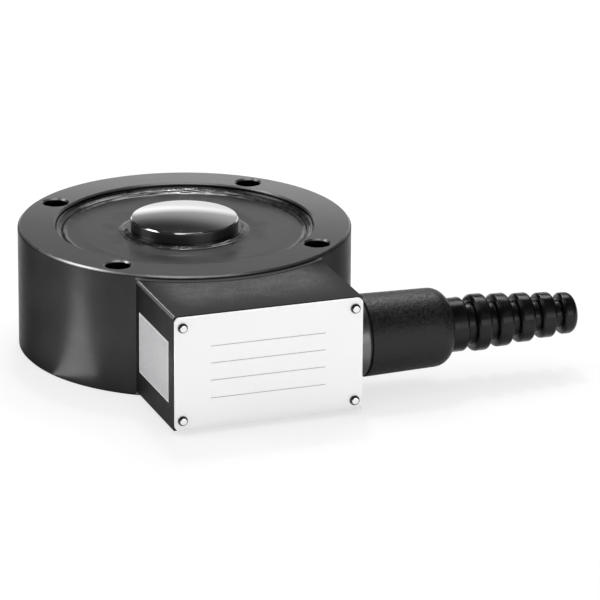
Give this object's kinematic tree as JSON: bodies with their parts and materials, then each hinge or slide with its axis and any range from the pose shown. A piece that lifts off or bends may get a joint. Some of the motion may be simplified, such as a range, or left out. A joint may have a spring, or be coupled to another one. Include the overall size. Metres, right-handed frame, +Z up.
{
  "type": "strain gauge load cell",
  "caption": "Low-profile compression load cell: black steel ring with a domed button in the centre, a side junction block with a plain cover plate, and a ribbed cable boot.",
  "frame": {"origin": "centre of the four-hole mounting circle in the plane of the base", "axes": "+Z up through the load button; the junction block's cover plate faces -Y; the cable boot runs towards +X"},
  "size_m": [0.1825, 0.1526, 0.0487],
  "materials": {
    "body_black": "satin black on turned steel",
    "button_chrome": "bright",
    "diaphragm_paint": "satin black",
    "sealant": "glossy black sealant",
    "cover_steel": "brushed",
    "screw_steel": "bright zinc",
    "gauge_foil": "amber backing with foil grid",
    "terminal_copper": "tinned copper",
    "wire_red": "wire insulation",
    "gasket": "black",
    "block_paint": "satin black",
    "screw_black": "black oxide",
    "board_green": "solder mask",
    "resistor_ceramic": "ceramic",
    "plate_aluminium": "satin bright",
    "plate_screw_steel": "bright",
    "label_film": "grey film",
    "collar_metal": "turned",
    "housing_paint": "fine matte grain",
    "seal_rubber": "matte",
    "boot_rubber": "glossy black"
  },
  "bodies": {
    "root": {"spring_element": "body_black", "load_button": "button_chrome", "top_diaphragm": "diaphragm_paint", "rim_sealant": "sealant", "button_sealant": "sealant", "bottom_cover": "cover_steel", "bottom_cover_screws": "screw_steel", "strain_gauge_1": "gauge_foil", "strain_gauge_2": "gauge_foil", "strain_gauge_3": "gauge_foil", "strain_gauge_4": "gauge_foil", "strain_gauge_5": "gauge_foil", "strain_gauge_6": "gauge_foil", "strain_gauge_7": "gauge_foil", "strain_gauge_8": "gauge_foil", "solder_terminal_1": "terminal_copper", "solder_terminal_2": "terminal_copper", "solder_terminal_3": "terminal_copper", "solder_terminal_4": "terminal_copper", "wire_loom": "wire_red", "block_gasket": "gasket", "junction_block": "block_paint", "block_screws": "screw_black", "circuit_board": "board_green", "board_screws": "screw_steel", "trim_resistor_1": "resistor_ceramic", "trim_resistor_2": "resistor_ceramic", "trim_resistor_3": "resistor_ceramic", "trim_resistor_4": "resistor_ceramic", "plate_gasket": "gasket", "cover_plate": "plate_aluminium", "plate_screws": "plate_screw_steel", "side_label": "label_film", "gland_collar": "collar_metal", "collar_seal": "gasket", "gland_housing": "housing_paint", "clamp_ring": "screw_steel", "cable_seal": "seal_rubber", "strain_relief": "boot_rubber"}
  },
  "joints": []
}
